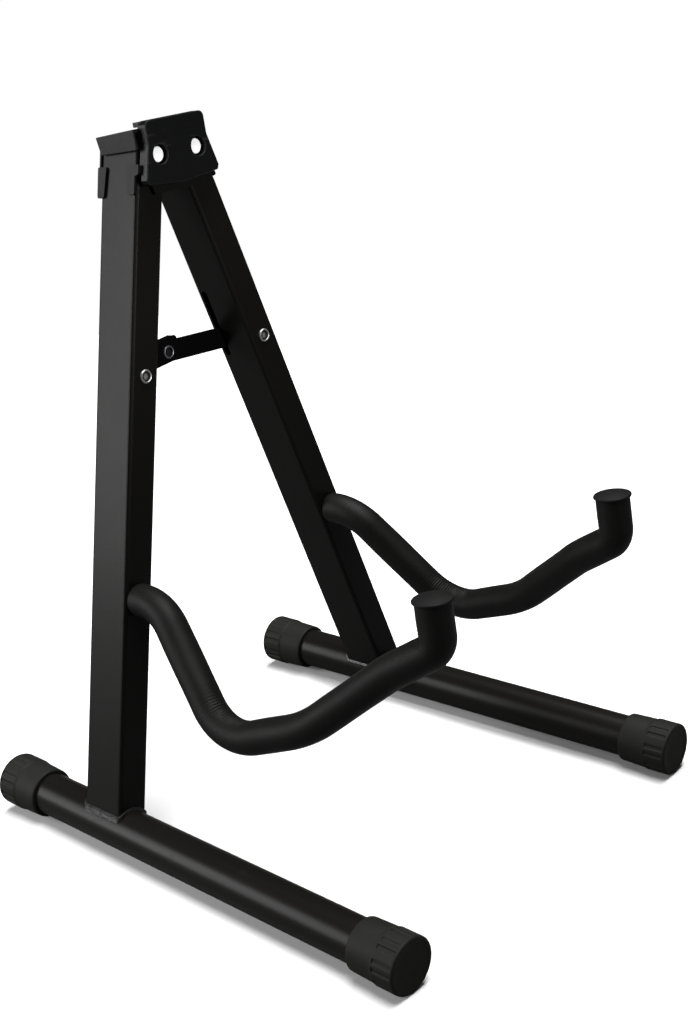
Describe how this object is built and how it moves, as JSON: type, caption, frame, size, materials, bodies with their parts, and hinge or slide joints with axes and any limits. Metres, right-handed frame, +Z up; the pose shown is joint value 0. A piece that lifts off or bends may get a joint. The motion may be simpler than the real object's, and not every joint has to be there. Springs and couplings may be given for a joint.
{
  "type": "guitar stand",
  "caption": "Folding A-frame guitar stand with box legs on round foot tubes, foam covered cradle arms, a top hinge bracket and a two-piece folding brace.",
  "frame": {"origin": "centre of the bounding box at the floor, midway between the foot tubes", "axes": "+Z up, +X to the stand's left-right direction (right leg at +X), -Y to the front, where the cradle arms point"},
  "size_m": [0.2884, 0.3171, 0.4022],
  "materials": {
    "steel": "satin black powder coat",
    "tube": "semi-gloss black paint",
    "weld": "painted weld bead",
    "rubber": "matte moulded rubber",
    "foam": "matte closed-cell foam",
    "plastic": "satin moulded plastic",
    "zinc": "bright zinc plate"
  },
  "bodies": {
    "hinge_bracket": {"hinge_front_plate": "steel", "hinge_back_plate": "steel", "hinge_front_cover": "plastic", "hinge_top_saddle": "plastic", "left_pivot_pin": "zinc", "right_pivot_pin": "zinc", "left_front_washer": "plastic", "right_front_washer": "plastic"},
    "left_leg_assembly": {"left_leg": "steel", "left_leg_plug": "plastic", "left_foot_tube": "tube", "left_foot_weld": "weld", "left_front_foot_cap": "rubber", "left_rear_foot_cap": "rubber", "left_arm_rod": "steel", "left_arm_foam": "foam", "left_arm_tip": "rubber", "left_brace_screw": "zinc", "left_brace_front_bush": "plastic"},
    "right_leg_assembly": {"right_leg": "steel", "right_leg_plug": "plastic", "right_foot_tube": "tube", "right_foot_weld": "weld", "right_front_foot_cap": "rubber", "right_rear_foot_cap": "rubber", "right_arm_rod": "steel", "right_arm_foam": "foam", "right_arm_tip": "rubber", "right_brace_screw": "zinc", "right_brace_bush": "plastic"},
    "brace_short_link": {"brace_channel": "steel", "brace_elbow_rivet": "steel"},
    "brace_long_link": {"brace_bar": "steel"}
  },
  "joints": [
    {"name": "left_leg_fold", "type": "hinge", "parent": "hinge_bracket", "child": "left_leg_assembly", "pos_m": [-0.01467, 0.10395, 0.381], "axis": [0, -0.9951, 0.0993], "range_deg": [0, 10]},
    {"name": "right_leg_fold", "type": "hinge", "parent": "hinge_bracket", "child": "right_leg_assembly", "pos_m": [0.01467, 0.10395, 0.381], "axis": [0, 0.9951, -0.0993], "range_deg": [0, 10]},
    {"name": "brace_left_pivot", "type": "hinge", "parent": "left_leg_assembly", "child": "brace_short_link", "pos_m": [-0.04866, 0.09902, 0.26312], "axis": [0, -0.9951, 0.0993], "range_deg": [0, 60.5]},
    {"name": "brace_elbow", "type": "hinge", "parent": "brace_short_link", "child": "brace_long_link", "pos_m": [-0.00882, 0.09937, 0.2666], "axis": [0, 0.9951, -0.0993], "range_deg": [0, 114.5]}
  ],
  "couplings": [
    {"joint": "right_leg_fold", "follows": "left_leg_fold", "ratio": 1},
    {"joint": "brace_left_pivot", "follows": "left_leg_fold", "ratio": 6.05},
    {"joint": "brace_elbow", "follows": "left_leg_fold", "ratio": 11.45}
  ]
}
